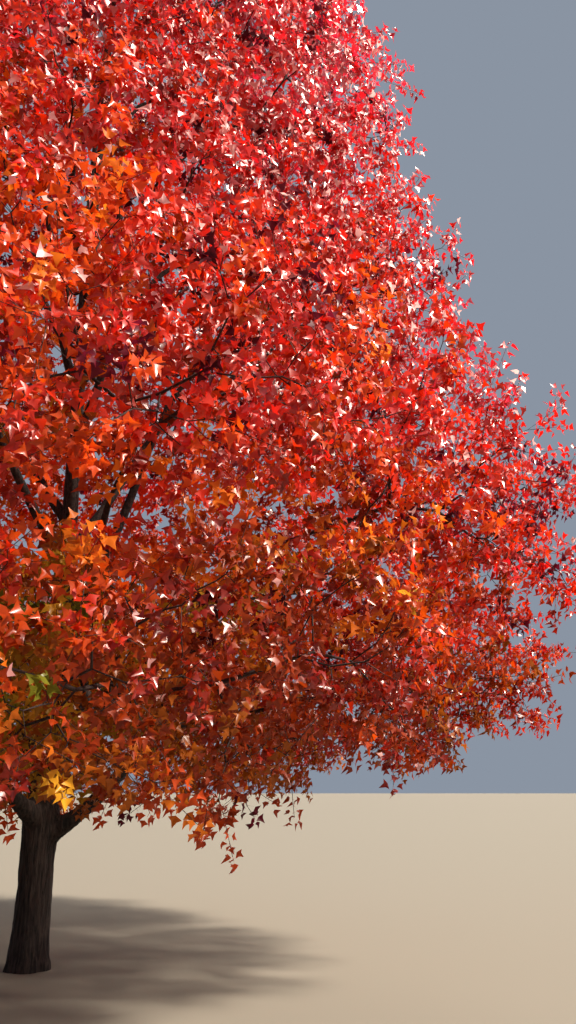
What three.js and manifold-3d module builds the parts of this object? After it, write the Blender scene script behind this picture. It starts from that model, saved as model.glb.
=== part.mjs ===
// A red maple in full autumn leaf: a short trunk that forks near the ground, a leader, the boughs that leave
// it tier by tier, and a mass of leafy twigs at the tip of each bough. Millimetres, +Z up, with the origin at
// the middle of the flat cut under the trunk. The trunk, each bough and each mass is one closed solid.
import * as THREE from "three";
import { mergeVertices } from "three/addons/utils/BufferGeometryUtils.js";
import Module from "manifold-3d";

const wasm = await Module();
wasm.setup();

// Driving dimensions
const TREE_HEIGHT = 14400;
const CROWN_RADIUS = 5500;
const TRUNK_RADIUS = 168; // at breast height, under the bark
const FORK_HEIGHT = 1420; // where the trunk ends and the leader stands on it
const JOINT_GAP = 0.3; // between two solids that touch on the real tree
const SWELL = 0.35; // added to a limb's radius where it cuts another, which leaves about JOINT_GAP
const SPACE_GAP = 24; // between the spaces of two neighbouring masses
const LEAF_LENGTH = 1000; // each leaf stands for a spray of real ones
const LEAF_THICKNESS = 22; // where the leaves of a spray meet; it dies away to their tips
const TWIG_RADIUS = 10; // at the tip of a twig that bears leaves
const LIMB_CLEARANCE = 4; // that a twig keeps from every limb, but for a stem and its own bough
const SPRAY_CLEARANCE = 4; // that a spray keeps from limbs, other twigs and other sprays

const UP = new THREE.Vector3(0, 0, 1);
const DEGREE = Math.PI / 180;

// The crown's outline beside the trunk, from the middle of its underside to its top, as [share of the
// crown's radius, share of the tree's height]
const CROWN_OUTLINE = [
  [0, 0.108],
  [0.3, 0.1],
  [0.66, 0.074],
  [0.84, 0.095],
  [0.94, 0.127],
  [1, 0.18],
  [1, 0.29],
  [0.96, 0.34],
  [0.89, 0.39],
  [0.82, 0.44],
  [0.78, 0.54],
  [0.74, 0.65],
  [0.68, 0.75],
  [0.58, 0.83],
  [0.43, 0.91],
  [0.23, 0.97],
  [0, 1],
];

// How the crown swells and draws in round the trunk: [waves round the tree, share of the radius, turn]
const CROWN_WAVES = [
  [2, 0.02, 20 * DEGREE],
  [3, 0.02, -10 * DEGREE],
  [5, 0.012, 0],
];

// On one side of the tree the crown's underside is drawn up, by so much at the crown's edge, and less towards
// the trunk and further up
const UNDERSIDE_LIFT = 1300;
const LIFT_TURN = 20 * DEGREE; // from +X
const LIFT_HEIGHTS = [1200, 3700]; // between which it dies away

// The tiers of masses from the ground up. height and reach place a mass's centre, and first is the direction
// of the tier's first mass from +X, in degrees. The bough to each mass leaves the leader between the heights
// in leaves, or for the skirt a bough of the tier above at those shares of its length. root is its radius.
const TIERS = [
  { name: "skirt", count: 6, height: 2350, reach: 3300, first: 0, leaves: [0.28, 0.42], root: 48 },
  { name: "lower", count: 7, height: 4300, reach: 3700, first: -13, leaves: [1120, 2750], root: 78 },
  { name: "middle", count: 6, height: 6450, reach: 2900, first: -16, leaves: [3250, 4500], root: 62 },
  { name: "upper", count: 5, height: 8600, reach: 2600, first: -40, leaves: [5300, 6500], root: 52 },
  { name: "shoulder", count: 4, height: 10700, reach: 1900, first: 15, leaves: [7400, 8400], root: 42 },
  { name: "top", count: 1, height: 13000, reach: 0, first: 0 },
];

const LEADER_ROOT = 118;
const BOUGH_TIP = 27;
const BOUGH_STOPS_SHORT = 1300; // of a mass's centre, measured level
const BOUGH_STOPS_BELOW = 450; // a mass's centre
const LEADER_STOPS_BELOW = 1000;

// The tips of the twigs lie in the outer shell of the crown, between these depths inside its outline
const TIP_DEPTHS = [150, 1000];
const CROWN_POINTS = 12800; // tried, over the box round the crown
const POINTS_PER_TWIG = 10.2;

// A seeded source of even random numbers from 0 to 1.
function seeded(seed) {
  let state = seed >>> 0;
  return () => {
    state = (state + 0x6d2b79f5) >>> 0;
    let mixed = Math.imul(state ^ (state >>> 15), state | 1);
    mixed ^= mixed + Math.imul(mixed ^ (mixed >>> 7), mixed | 61);
    return ((mixed ^ (mixed >>> 14)) >>> 0) / 4294967296;
  };
}

const outward = (azimuth) => new THREE.Vector3(Math.cos(azimuth), Math.sin(azimuth), 0);

// How much of its full radius the crown has in one direction from the trunk.
function swellAt(azimuth) {
  const waves = CROWN_WAVES.map(([n, size, turn]) => size * (Math.cos(n * (azimuth - turn)) - 1));
  return 1 + waves.reduce((a, b) => a + b);
}

// How far the crown's underside is drawn up beside or below a point.
function liftAt(point) {
  const share = point.dot(outward(LIFT_TURN)) / CROWN_RADIUS;
  const fade = THREE.MathUtils.inverseLerp(...LIFT_HEIGHTS.toReversed(), point.z);
  return UNDERSIDE_LIFT * THREE.MathUtils.clamp(share, 0, 1) * THREE.MathUtils.clamp(fade, 0, 1);
}

// How far a point lies inside the crown's outline; negative outside it.
function depthInCrown(point) {
  const radius = CROWN_RADIUS * swellAt(Math.atan2(point.y, point.x));
  const at = new THREE.Vector2(Math.hypot(point.x, point.y), point.z - liftAt(point));
  const corners = CROWN_OUTLINE.map(([out, up]) => new THREE.Vector2(out * radius, up * TREE_HEIGHT));
  let nearest = Infinity;
  let inside = false;
  for (let i = 1; i < corners.length; i++) {
    const [from, to] = [corners[i - 1], corners[i]];
    const side = to.clone().sub(from);
    const share = THREE.MathUtils.clamp(at.clone().sub(from).dot(side) / side.lengthSq(), 0, 1);
    nearest = Math.min(nearest, at.distanceTo(from.clone().addScaledVector(side, share)));
    const level = at.y > from.y !== at.y > to.y;
    if (level && at.x < from.x + (side.x * (at.y - from.y)) / side.y) inside = !inside;
  }
  return inside ? nearest : -nearest;
}

// The masses, each with its centre and its direction from the trunk, a little off the tier's even steps.
const TURN_SPREAD = 7 * DEGREE;
const HEIGHT_SPREAD = 320;

function placeMasses() {
  const random = seeded(11);
  return TIERS.flatMap((tier) =>
    Array.from({ length: tier.count }, (_, i) => {
      const alone = tier.count === 1;
      const azimuth = (tier.first + (360 / tier.count) * i) * DEGREE + TURN_SPREAD * (random() - 0.5);
      const centre = outward(azimuth).multiplyScalar(tier.reach * swellAt(azimuth));
      centre.z = tier.height + (alone ? 0 : HEIGHT_SPREAD * (random() - 0.5));
      centre.z += liftAt(centre);
      return { tier, azimuth, centre, label: alone ? tier.name : `${tier.name}_${i + 1}` };
    }),
  );
}

const masses = placeMasses();

// How far a point lies inside a mass's space. A space ends at the crown's outline and half way to the next
// mass's centre, so that no two spaces meet.
function depthIn(mass, point) {
  let depth = depthInCrown(point);
  for (const other of masses) {
    if (other === mass) continue;
    const apart = other.centre.distanceTo(mass.centre);
    const nearer = point.distanceToSquared(other.centre) - point.distanceToSquared(mass.centre);
    depth = Math.min(depth, nearer / (2 * apart) - SPACE_GAP / 2);
  }
  return depth;
}

// Gives each mass the seeded points of the crown's outer shell that lie in its space.
function sharePoints() {
  const random = seeded(37);
  for (const mass of masses) mass.points = [];
  for (let i = 0; i < CROWN_POINTS; i++) {
    const [x, y] = [random(), random()].map((share) => CROWN_RADIUS * (2 * share - 1));
    const point = new THREE.Vector3(x, y, TREE_HEIGHT * random());
    const depth = depthInCrown(point);
    const mass = masses.find((m) => depthIn(m, point) > TIP_DEPTHS[0]);
    if (mass && depth < TIP_DEPTHS[1]) mass.points.push(point);
  }
}

sharePoints();

// Turns a three.js geometry into a solid that can be joined and cut.
function solidOf(geometry) {
  geometry.deleteAttribute("normal");
  geometry.deleteAttribute("uv");
  const merged = mergeVertices(geometry, 1e-3);
  const triVerts = new Uint32Array(merged.index.array);
  return new wasm.Manifold(
    new wasm.Mesh({ numProp: 3, vertProperties: merged.attributes.position.array, triVerts }),
  );
}

function geometryOf(solid) {
  const { vertProperties, triVerts } = solid.getMesh();
  return new THREE.BufferGeometry()
    .setAttribute("position", new THREE.BufferAttribute(vertProperties, 3))
    .setIndex(new THREE.BufferAttribute(triVerts, 1))
    .toNonIndexed();
}

// The largest whole piece of a solid, without loose scraps or sealed hollows.
function largestPiece(solid) {
  return solid.decompose().reduce((a, b) => (b.volume() > a.volume() ? b : a));
}

// A closed limb through the points of a path, with a radius at each. Its first ring stands square to start.
function limbSolid(points, radii, sides, start) {
  const rings = points.length - 1;
  const tangents = points.map((_, i) =>
    i === 0 && start
      ? start.clone().normalize()
      : points[Math.min(i + 1, rings)].clone().sub(points[Math.max(i - 1, 0)]).normalize(),
  );
  const normal = new THREE.Vector3(1, 0.2, 0.1).cross(tangents[0]).normalize();
  const normals = tangents.map((tangent, i) => {
    if (i > 0) normal.applyQuaternion(new THREE.Quaternion().setFromUnitVectors(tangents[i - 1], tangent));
    return normal.clone();
  });
  const geometry = new THREE.CylinderGeometry(1, 1, rings, sides, rings);
  const position = geometry.getAttribute("position");
  for (let i = 0; i < position.count; i++) {
    const ring = Math.round(position.getY(i) + rings / 2);
    const across = normals[ring];
    const binormal = new THREE.Vector3().crossVectors(tangents[ring], across);
    const vertex = points[ring]
      .clone()
      .addScaledVector(across, position.getX(i) * radii[ring])
      .addScaledVector(binormal, -position.getZ(i) * radii[ring]);
    position.setXYZ(i, vertex.x, vertex.y, vertex.z);
  }
  return solidOf(geometry);
}

// The trunk: its flare stands on five roots and dies away upwards, and it swells again below the fork.
const TRUNK_SIDES = 15;
const TRUNK_PROFILE = [
  [0, 1.3],
  [90, 1.17],
  [220, 1.08],
  [420, 1.03],
  [700, 1],
  [1000, 1],
  [1200, 1.05],
  [1340, 1.06],
  [FORK_HEIGHT, 0.93],
];
const ROOTS = 5;
const ROOT_SPREAD = 0.13; // of the radius, at the ground
const ROOT_FADE = 190; // the height in which the roots sink back to a third

function trunkSolid(extra = 0) {
  const rings = TRUNK_PROFILE.length - 1;
  const geometry = new THREE.CylinderGeometry(1, 1, rings, TRUNK_SIDES, rings);
  const position = geometry.getAttribute("position");
  for (let i = 0; i < position.count; i++) {
    const [height, share] = TRUNK_PROFILE[Math.round(position.getY(i) + rings / 2)];
    const [x, y] = [position.getX(i), -position.getZ(i)];
    const azimuth = Math.atan2(y, x);
    const roots = ROOT_SPREAD * Math.exp(-height / ROOT_FADE) * Math.cos(ROOTS * azimuth + 0.6);
    const radius = TRUNK_RADIUS * share * (1 + roots) + extra;
    position.setXYZ(i, x * radius, y * radius, height === FORK_HEIGHT ? height + extra : height);
  }
  return solidOf(geometry);
}

// A limb along a curve. Its root is thickened by a collar, as where a bough leaves its parent on the real
// tree, and from there it tapers to its tip. Its rings lie closer together near the root.
const BOUGH_SIDES = 5;
const LEADER_SIDES = 8;
const COLLAR = 0.4; // of the root's radius
const LEADER_COLLAR = 0.25; // which brings it out to the trunk's top
const COLLAR_FADE = 0.05; // of the limb's length
const TAPER = 0.8;
const RING_SPACING = 1.25;

function limb(name, curve, root, collar, rings, sides = BOUGH_SIDES) {
  const shares = Array.from({ length: rings + 1 }, (_, i) => (i / rings) ** RING_SPACING);
  const points = shares.map((share) => curve.getPointAt(share));
  const radii = shares.map((share) => {
    const taper = THREE.MathUtils.lerp(root, BOUGH_TIP, share ** TAPER);
    return taper * (1 + collar * Math.exp(-share / COLLAR_FADE));
  });
  const start = sides === LEADER_SIDES ? UP : curve.getTangentAt(0);
  const build = (extra) => limbSolid(points, radii.map((radius) => radius + extra), sides, start);
  const direction = points[rings].clone().sub(points[rings - 1]).normalize();
  return { name, curve, end: { point: points[rings], direction }, solid: build(0), swollen: build(SWELL) };
}

// Where the bough to a mass ends: short of the mass's centre, on the trunk's side of it.
function entryOf({ tier, azimuth, centre }) {
  const entry = centre.clone();
  if (tier.count === 1) return entry.addScaledVector(UP, -LEADER_STOPS_BELOW);
  return entry.addScaledVector(outward(azimuth), -BOUGH_STOPS_SHORT).addScaledVector(UP, -BOUGH_STOPS_BELOW);
}

// The leader stands on the trunk and sways a little to either side on its way to the top.
const LEADER_SWAY = [new THREE.Vector3(150, -60, 4600), new THREE.Vector3(-240, 150, 8000)];

function leaderCurve(top) {
  const foot = new THREE.Vector3(0, 0, FORK_HEIGHT + JOINT_GAP);
  return new THREE.CubicBezierCurve3(foot, ...LEADER_SWAY, entryOf(top));
}

// A bough leaves its parent's axis at a point, rising by so much for each step outwards, and arrives at its
// mass from inside, level in the skirt and rising above it.
function boughCurve(from, rise, mass) {
  const to = entryOf(mass);
  const length = from.distanceTo(to);
  const out = outward(Math.atan2(to.y - from.y, to.x - from.x));
  const leaving = out.clone().addScaledVector(UP, rise).normalize();
  const arriving = outward(mass.azimuth).addScaledVector(UP, mass.tier === TIERS[0] ? 0.05 : 0.7).normalize();
  return new THREE.CubicBezierCurve3(
    from,
    from.clone().addScaledVector(leaving, 0.4 * length),
    to.clone().addScaledVector(arriving, -0.3 * length),
    to,
  );
}

// The boughs that leave the leader, or the trunk below it. Steps of a golden section up the tier's stretch of
// the leader keep the roots of neighbours apart.
const GOLDEN_STEP = 0.618;
const LOWEST_RISES = [0.42, 0.62];
const UPPER_RISE = 1.1;

function boughsOf(tier, leader, random) {
  const [lowest, highest] = tier.leaves;
  const own = masses.filter((mass) => mass.tier === tier);
  return own.map((mass, i) => {
    const height = THREE.MathUtils.lerp(lowest, highest, (i * GOLDEN_STEP) % 1);
    const share = (height - FORK_HEIGHT) / (leader.end.point.z - FORK_HEIGHT);
    const from = share > 0 ? leader.curve.getPointAt(share) : new THREE.Vector3(0, 0, height);
    const rise = tier === TIERS[1] ? THREE.MathUtils.lerp(...LOWEST_RISES, random()) : UPPER_RISE;
    mass.bough = limb(`bough_${mass.label}`, boughCurve(from, rise, mass), tier.root, COLLAR, 5);
    return mass.bough;
  });
}

// The skirt's boughs, each of which leaves the bough whose mass is nearest above its own.
const SKIRT_RISE = 0.15;

function skirtBoughs(random) {
  const [skirt, above] = TIERS.slice(0, 2).map((tier) => masses.filter((mass) => mass.tier === tier));
  return skirt.map((mass) => {
    const away = (other) => other.centre.distanceTo(mass.centre);
    const parent = above.reduce((a, b) => (away(b) < away(a) ? b : a)).bough;
    const share = THREE.MathUtils.lerp(...mass.tier.leaves, random());
    const curve = boughCurve(parent.curve.getPointAt(share), SKIRT_RISE, mass);
    mass.bough = limb(`bough_${mass.label}`, curve, mass.tier.root, COLLAR, 4);
    return mass.bough;
  });
}

// The trunk and all limbs. The root of each bough is cut to the shape of the limbs that come before it.
function placeLimbs() {
  const random = seeded(23);
  const trunk = { name: "trunk", solid: trunkSolid(), swollen: trunkSolid(SWELL) };
  const top = masses[masses.length - 1];
  const leader = limb("leader", leaderCurve(top), LEADER_ROOT, LEADER_COLLAR, 9, LEADER_SIDES);
  top.bough = leader;
  const limbs = [trunk, leader];
  for (const tier of TIERS.slice(1, -1)) limbs.push(...boughsOf(tier, leader, random));
  limbs.push(...skirtBoughs(random));
  for (const [i, bough] of limbs.entries()) {
    if (i < 2) continue;
    const before = wasm.Manifold.union(limbs.slice(0, i).map((other) => other.swollen));
    bough.solid = largestPiece(bough.solid.subtract(before));
  }
  return limbs;
}

// The tips of a mass's twigs, spread evenly over its points. Each next one starts at the point that lies
// furthest from the root and from those before it, and all of them then move to the middle of the points
// that lie nearest to them, a few times over.
const SPREAD_ROUNDS = 3;

function spreadTips({ points }, root) {
  const count = Math.max(3, Math.round(points.length / POINTS_PER_TWIG));
  const nearestOf = (all, point) => all.reduce((a, b) => (b.distanceTo(point) < a.distanceTo(point) ? b : a));
  let tips = [root];
  while (tips.length <= count) {
    const gaps = points.map((p) => nearestOf(tips, p).distanceTo(p));
    tips.push(points[gaps.indexOf(Math.max(...gaps))]);
  }
  tips = tips.slice(1);
  for (let round = 0; round < SPREAD_ROUNDS; round++) {
    tips = tips.map((tip) => {
      const own = points.filter((p) => nearestOf(tips, p) === tip);
      return own.reduce((sum, p) => sum.add(p), new THREE.Vector3()).divideScalar(own.length);
    });
  }
  return tips;
}

// The twigs of a mass: one stem heads for the middle of all its tips and forks part of the way there. Each
// fork shares its tips between the two that lie furthest apart, and goes on until a twig has one tip.
const FORK_SHARE = 0.42;

function growTwigs(root, tips) {
  const twigs = [];
  const grow = (twig, from, own) => {
    if (own.length === 1) {
      twig.points.push(own[0]);
      twig.bears.push(1);
      return;
    }
    const middle = own.reduce((sum, p) => sum.add(p), new THREE.Vector3()).divideScalar(own.length);
    const fork = from.clone().lerp(middle, FORK_SHARE);
    twig.points.push(fork);
    twig.bears.push(own.length);
    const furthestFrom = (p) => own.reduce((a, b) => (b.distanceTo(p) > a.distanceTo(p) ? b : a));
    const oneEnd = furthestFrom(middle);
    const otherEnd = furthestFrom(oneEnd);
    const isNear = (p) => p.distanceTo(oneEnd) < p.distanceTo(otherEnd);
    const shares = [own.filter(isNear), own.filter((p) => !isNear(p))];
    const [most, fewest] = shares.sort((a, b) => b.length - a.length);
    grow(twig, fork, most);
    const offshoot = { points: [fork], bears: [fewest.length] };
    twigs.push(offshoot);
    grow(offshoot, fork, fewest);
  };
  const stem = { points: [root], bears: [tips.length] };
  twigs.push(stem);
  grow(stem, root, tips);
  return twigs;
}

// A spray at the tip of a twig: one leaf ahead and an opposite pair, each with three lobes. Its outline goes
// once round the tip, as [direction, share of the leaf's length] points, between an upper and a lower peak.
const LOBES = [
  [-42 * DEGREE, 0.6],
  [-21 * DEGREE, 0.5],
  [0, 1],
  [21 * DEGREE, 0.5],
  [42 * DEGREE, 0.6],
];
const LEAF_HEADINGS = [-104 * DEGREE, 0, 104 * DEGREE];
const NOTCH = 0.13; // between two leaves, as a share of the full length
const DROOP = 0.22; // of a leaf's tip below the twig's, as a share of its length

function sprayOutline(lengths) {
  const outline = [[-Math.PI, NOTCH * LEAF_LENGTH]];
  LEAF_HEADINGS.forEach((heading, i) => {
    if (i > 0) outline.push([(heading + LEAF_HEADINGS[i - 1]) / 2, NOTCH * LEAF_LENGTH]);
    if (lengths[i] > 0) outline.push(...LOBES.map(([turn, share]) => [heading + turn, share * lengths[i]]));
  });
  return outline.map(([turn, reach]) => {
    const fall = DROOP * (reach / LEAF_LENGTH) * reach;
    return new THREE.Vector3(Math.cos(turn) * reach, Math.sin(turn) * reach, -fall);
  });
}

function spraySolid(outline, place) {
  const count = outline.length;
  const [upper, lower] = [LEAF_THICKNESS / 2, -LEAF_THICKNESS / 2].map((z) => new THREE.Vector3(0, 0, z));
  const faces = outline.flatMap((_, i) => [i, (i + 1) % count, count, (i + 1) % count, i, count + 1]);
  return solidOf(
    new THREE.BufferGeometry().setFromPoints([...outline, upper, lower]).setIndex(faces).applyMatrix4(place),
  );
}

// The spray at a twig's tip, its blades turned up and outwards to the light. A leaf that would leave the
// mass's space is made shorter, and a spray that would come near a limb, a twig or another spray is tried
// again smaller and turned a little. What never fits is left out.
const SPRAY_SIZES = [1, 1, 0.92, 0.92, 0.84, 0.84, 0.76, 0.68, 0.6, 0.5];
const LEAF_SHARES = [1, 0.93, 0.86, 0.79, 0.72, 0.65, 0.58, 0.5, 0];
const LIGHT_CENTRE = new THREE.Vector3(0, 0, 0.4 * TREE_HEIGHT);
const SPRAY_TILT = 0.7;

function sprayOn(twig, mass, obstacles, random) {
  const [before, tip] = twig.points.slice(-2);
  const forward = tip.clone().sub(before);
  const light = tip.clone().sub(LIGHT_CENTRE).multiply(new THREE.Vector3(1, 1, 0.6)).normalize().add(UP);
  for (const size of SPRAY_SIZES) {
    const tilt = new THREE.Vector3(random() - 0.5, random() - 0.5, random() - 0.5);
    const facing = light.clone().normalize().addScaledVector(tilt, SPRAY_TILT).normalize();
    const ahead = forward.clone().projectOnPlane(facing).normalize();
    const place = new THREE.Matrix4().makeBasis(ahead, facing.clone().cross(ahead), facing).setPosition(tip);
    const fits = (lengths) =>
      sprayOutline(lengths).every((corner) => depthIn(mass, corner.applyMatrix4(place)) > LEAF_THICKNESS);
    const lengths = LEAF_HEADINGS.map((_, leaf) => {
      const alone = (share) => LEAF_HEADINGS.map((_, i) => (i === leaf ? share * size * LEAF_LENGTH : 0));
      return (LEAF_SHARES.find((share) => fits(alone(share))) ?? 0) * size * LEAF_LENGTH;
    });
    const spray = spraySolid(sprayOutline(lengths), place);
    if (obstacles.every((other) => spray.minGap(other, SPRAY_CLEARANCE) >= SPRAY_CLEARANCE)) return [spray];
  }
  return [];
}

// One mass of foliage: its twigs and leaves in one closed solid. A twig's radius follows the number of tips
// that it bears, and its root is sunk in its parent. The stem starts just clear of the bough's tip.
const STEM_SIDES = 4;
const TWIG_SIDES = 3;
const TWIG_ROOT = 0.6; // of a twig's radius
const TWIG_END = 0.7;

function massSolid(mass, limbs) {
  const { point, direction } = mass.bough.end;
  const root = point.clone().addScaledVector(direction, JOINT_GAP);
  const twigs = growTwigs(root, spreadTips(mass, point));
  for (const [i, twig] of twigs.entries()) {
    const radii = twig.bears.map((tips) => TWIG_RADIUS * Math.sqrt(tips));
    radii[0] = i === 0 ? BOUGH_TIP - 1 : radii[0] * TWIG_ROOT;
    radii[radii.length - 1] *= TWIG_END;
    twig.solid = limbSolid(twig.points, radii, i === 0 ? STEM_SIDES : TWIG_SIDES, i === 0 ? direction : null);
  }
  const limbSolids = limbs.map((each) => each.solid);
  const isClear = (twig) =>
    limbSolids.every((solid) => {
      const meets = twig === twigs[0] && solid === mass.bough.solid;
      return meets || twig.solid.minGap(solid, LIMB_CLEARANCE) >= LIMB_CLEARANCE;
    });
  const clear = twigs.filter(isClear);
  const sprays = [];
  const random = seeded(100 + masses.indexOf(mass));
  for (const twig of clear) {
    const otherTwigs = clear.filter((other) => other !== twig).map((other) => other.solid);
    sprays.push(...sprayOn(twig, mass, [...limbSolids, ...otherTwigs, ...sprays], random));
  }
  const pieces = [...clear.map((twig) => twig.solid), ...sprays];
  return largestPiece(wasm.Manifold.union(pieces).simplify(0.05));
}

const finish = (color, roughness) => new THREE.MeshStandardMaterial({ color, roughness, metalness: 0 });
const BARK = finish(0x4a3b33, 0.95);
const LEAF_FINISHES = {
  skirt: finish(0xc4501c, 0.5),
  lower: finish(0xd0401a, 0.5),
  middle: finish(0xc8281c, 0.5),
  upper: finish(0xc21d22, 0.5),
  shoulder: finish(0xb81a26, 0.5),
  top: finish(0xb81a26, 0.5),
};

function meshOf(name, solid, material) {
  const mesh = new THREE.Mesh(geometryOf(solid), material);
  mesh.name = name;
  return mesh;
}

const tree = new THREE.Group();
const limbs = placeLimbs();
for (const { name, solid } of limbs) tree.add(meshOf(name, solid, BARK));
for (const mass of masses) {
  const solid = massSolid(mass, limbs);
  tree.add(meshOf(`foliage_${mass.label}`, solid, LEAF_FINISHES[mass.tier.name]));
}

export default tree;
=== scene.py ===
# %% [markdown]
# # A red maple in autumn
# The tree was first built as plain solids: a trunk, a leader, 28 boughs and 29 masses of foliage. This
# notebook dresses that frame. The limbs get bark, and each mass gets finer twigs and real leaf shapes that
# grow from the same limbs by the same rule. All lengths are metres, +Z is up, and the origin is the middle
# of the trunk's flat cut at ground level.

import math

import bpy
import numpy as np
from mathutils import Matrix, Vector


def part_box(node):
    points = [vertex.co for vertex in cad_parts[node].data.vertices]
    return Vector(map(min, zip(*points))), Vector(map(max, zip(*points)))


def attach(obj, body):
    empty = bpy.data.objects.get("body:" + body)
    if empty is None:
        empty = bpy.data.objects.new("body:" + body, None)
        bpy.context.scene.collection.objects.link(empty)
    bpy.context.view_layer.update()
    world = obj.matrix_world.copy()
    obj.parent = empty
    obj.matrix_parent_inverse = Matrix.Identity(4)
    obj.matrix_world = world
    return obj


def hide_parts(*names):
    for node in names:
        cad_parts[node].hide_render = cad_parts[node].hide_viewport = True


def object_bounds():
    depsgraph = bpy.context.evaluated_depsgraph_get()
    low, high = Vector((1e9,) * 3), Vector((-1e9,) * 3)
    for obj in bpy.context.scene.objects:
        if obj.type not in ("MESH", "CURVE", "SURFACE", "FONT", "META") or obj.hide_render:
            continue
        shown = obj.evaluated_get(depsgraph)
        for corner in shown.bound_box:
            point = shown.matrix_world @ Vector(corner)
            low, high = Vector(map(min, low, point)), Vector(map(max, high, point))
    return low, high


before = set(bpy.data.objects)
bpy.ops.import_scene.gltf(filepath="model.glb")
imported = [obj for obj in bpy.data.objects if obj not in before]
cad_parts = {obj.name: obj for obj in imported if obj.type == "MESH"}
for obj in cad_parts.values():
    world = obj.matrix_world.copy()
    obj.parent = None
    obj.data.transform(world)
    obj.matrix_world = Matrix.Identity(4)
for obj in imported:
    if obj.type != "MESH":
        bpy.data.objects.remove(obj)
cad_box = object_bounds()
print("frame", len(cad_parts), "nodes, top at", round(cad_box[1].z, 2), "m")

# %% [markdown]
# ## The stage
# The photograph was taken at eye height beside the tree with the camera tilted up, so the crown runs out of
# the frame. The same place and tilt are used here. A pale floor under an even sky is the studio. A warm light
# from the upper right takes the part of the sun, and two weaker ones keep the shadows from closing.

# %% Camera
CAMERA_PLACE = (2.4, -8.5, 1.6)
CAMERA_TILT = math.radians(18.5)
LONG_SIDE_PIXELS = 1024
FOCAL_PIXELS = 820

camera_data = bpy.data.cameras.new("camera")
camera_data.sensor_width = 36
camera_data.lens = camera_data.sensor_width * FOCAL_PIXELS / LONG_SIDE_PIXELS
camera = bpy.data.objects.new("camera", camera_data)
camera.location = CAMERA_PLACE
camera.rotation_euler = (math.pi / 2 + CAMERA_TILT, 0, 0)
bpy.context.scene.collection.objects.link(camera)
bpy.context.scene.camera = camera
print("lens", round(camera_data.lens, 2), "mm")


# %% Plain finishes
def principled(name):
    """A new material and its Principled shader."""
    material = bpy.data.materials.new(name)
    material.use_nodes = True
    return material, material.node_tree.nodes["Principled BSDF"]


def srgb(red, green, blue):
    """A colour given as a screen shows it, from 0 to 255, in Blender's linear values."""
    shares = [value / 255 for value in (red, green, blue)]
    return [s / 12.92 if s <= 0.04045 else ((s + 0.055) / 1.055) ** 2.4 for s in shares] + [1]


# %% Floor, sky and lights
FLOOR_SIZE = 400

bpy.ops.object.select_all(action="DESELECT")
bpy.ops.mesh.primitive_plane_add(size=FLOOR_SIZE)
floor = bpy.context.object
floor.name = "floor"
floor_finish, shader = principled("pale_floor")
shader.inputs["Base Color"].default_value = srgb(118, 112, 101)
shader.inputs["Roughness"].default_value = 0.9
floor.data.materials.append(floor_finish)

world = bpy.data.worlds.new("studio")
bpy.context.scene.world = world
world.use_nodes = True
world.node_tree.nodes["Background"].inputs["Color"].default_value = srgb(200, 214, 234)
world.node_tree.nodes["Background"].inputs["Strength"].default_value = 0.44


def studio_light(name, kind, place, power, colour):
    """A light at a place, turned towards the middle of the crown."""
    data = bpy.data.lights.new(name, kind)
    data.energy = power
    data.color = srgb(*colour)[:3]
    light = bpy.data.objects.new(name, data)
    light.location = place
    light.rotation_euler = (CROWN_MIDDLE - Vector(place)).to_track_quat("-Z", "Y").to_euler()
    bpy.context.scene.collection.objects.link(light)
    return data


CROWN_MIDDLE = Vector((0, 0, 6))
studio_light("key", "SUN", (26, -6, 32), 10.2, (255, 243, 226)).angle = math.radians(7)
studio_light("rim", "SUN", (8, 26, 24), 1.5, (255, 240, 220)).angle = math.radians(30)
studio_light("fill", "AREA", (-8, -26, 12), 200, (255, 244, 232)).size = 12
bpy.context.scene.view_settings.view_transform = "Standard"

# %% [markdown]
# ## The crown's plan
# These are the driving dimensions and rules of the frame's source, repeated in metres. The outline says how
# far the crown reaches at each height, the waves make it swell and draw in round the trunk, and each tier
# holds a ring of masses. The same seeds give the same places, so what grows here fits the limbs.

# %% Driving dimensions
TREE_HEIGHT = 14.4
CROWN_RADIUS = 5.5
TRUNK_RADIUS = 0.168
FORK_HEIGHT = 1.42
JOINT_GAP = 0.0003
CROWN_OUTLINE = [
    (0, 0.108), (0.3, 0.1), (0.66, 0.074), (0.84, 0.095), (0.94, 0.127), (1, 0.18),
    (1, 0.29), (0.96, 0.34), (0.89, 0.39), (0.82, 0.44), (0.78, 0.54), (0.74, 0.65),
    (0.68, 0.75), (0.58, 0.83), (0.43, 0.91), (0.23, 0.97), (0, 1),
]
CROWN_WAVES = [(2, 0.02, math.radians(20)), (3, 0.02, math.radians(-10)), (5, 0.012, 0)]
UNDERSIDE_LIFT = 1.3
LIFT_TURN = math.radians(20)
LIFT_HEIGHTS = (1.2, 3.7)
TIERS = {
    "skirt": {"count": 6, "height": 2.35, "reach": 3.3, "first": 0, "leaves": (0.28, 0.42), "root": 0.048},
    "lower": {"count": 7, "height": 4.3, "reach": 3.7, "first": -13, "leaves": (1.12, 2.75), "root": 0.078},
    "middle": {"count": 6, "height": 6.45, "reach": 2.9, "first": -16, "leaves": (3.25, 4.5), "root": 0.062},
    "upper": {"count": 5, "height": 8.6, "reach": 2.6, "first": -40, "leaves": (5.3, 6.5), "root": 0.052},
    "shoulder": {"count": 4, "height": 10.7, "reach": 1.9, "first": 15, "leaves": (7.4, 8.4), "root": 0.042},
    "top": {"count": 1, "height": 13.0, "reach": 0, "first": 0},
}
TURN_SPREAD = math.radians(7)
HEIGHT_SPREAD = 0.32
PLACES_SEED, PATHS_SEED = 11, 23
UP = np.array([0.0, 0.0, 1.0])


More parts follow.
